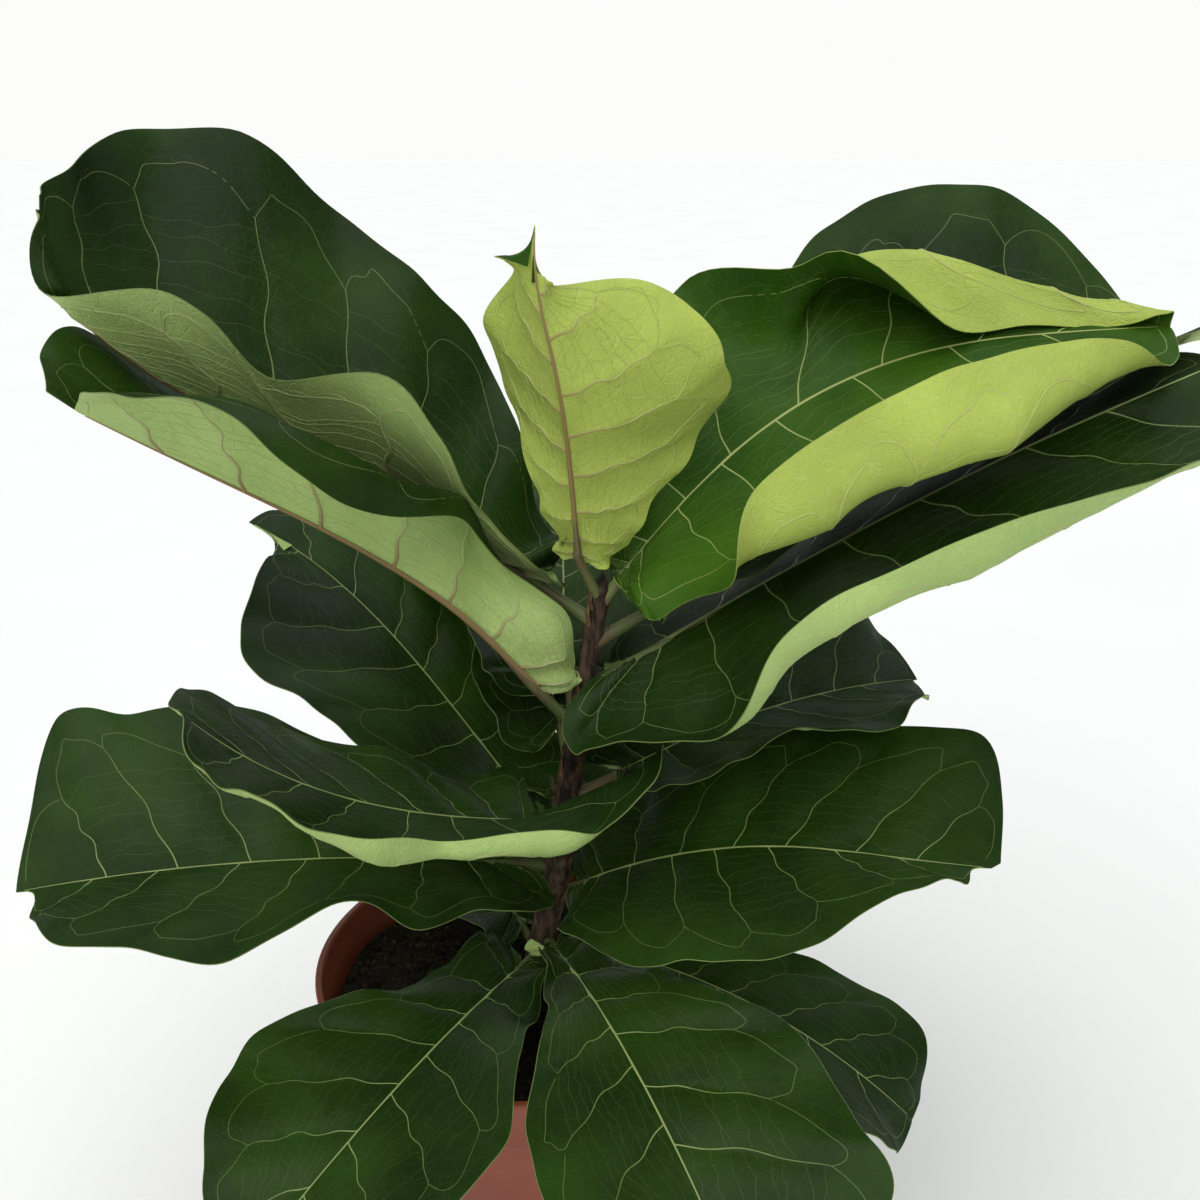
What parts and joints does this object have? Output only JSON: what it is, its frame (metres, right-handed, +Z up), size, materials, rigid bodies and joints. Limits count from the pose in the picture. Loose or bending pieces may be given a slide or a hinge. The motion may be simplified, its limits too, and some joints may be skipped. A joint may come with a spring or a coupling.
{
  "type": "potted fiddle leaf fig",
  "caption": "Young fiddle leaf fig with large violin-shaped leaves spiralling up one thin trunk in a round nursery pot of soil.",
  "frame": {"origin": "middle of the pot's flat underside, where it stands on the floor", "axes": "+Z up along the pot's axis, -Y towards the plant's front as pictured, +X to the right seen from the front"},
  "size_m": [0.5549, 0.4422, 0.5737],
  "materials": {
    "pot_plastic": "terracotta-red moulded plastic, satin",
    "soil": null,
    "bark": "rough grey-brown bark with leaf scars",
    "leaf_mature": null,
    "leaf_young": null
  },
  "bodies": {
    "root": {"pot": "pot_plastic", "soil": "soil", "trunk": "bark", "leaf_01_upper_left": "leaf_mature", "leaf_02_left_keeled": "leaf_mature", "leaf_03_young_upright": "leaf_young", "leaf_04_young_rolled": "leaf_young", "leaf_05_upper_right_back": "leaf_mature", "leaf_06_upper_right": "leaf_mature", "leaf_07_left_back": "leaf_mature", "leaf_08_back_left": "leaf_mature", "leaf_09_left_cupped": "leaf_mature", "leaf_10_left_low": "leaf_mature", "leaf_11_right_low": "leaf_mature", "leaf_12_right_back": "leaf_mature", "leaf_13_front_left": "leaf_mature", "leaf_14_front_right": "leaf_mature", "leaf_15_right_lowest": "leaf_mature", "leaf_16_back_lowest": "leaf_mature", "leaf_17_back_upper": "leaf_mature", "leaf_18_back_right": "leaf_mature"}
  },
  "joints": []
}
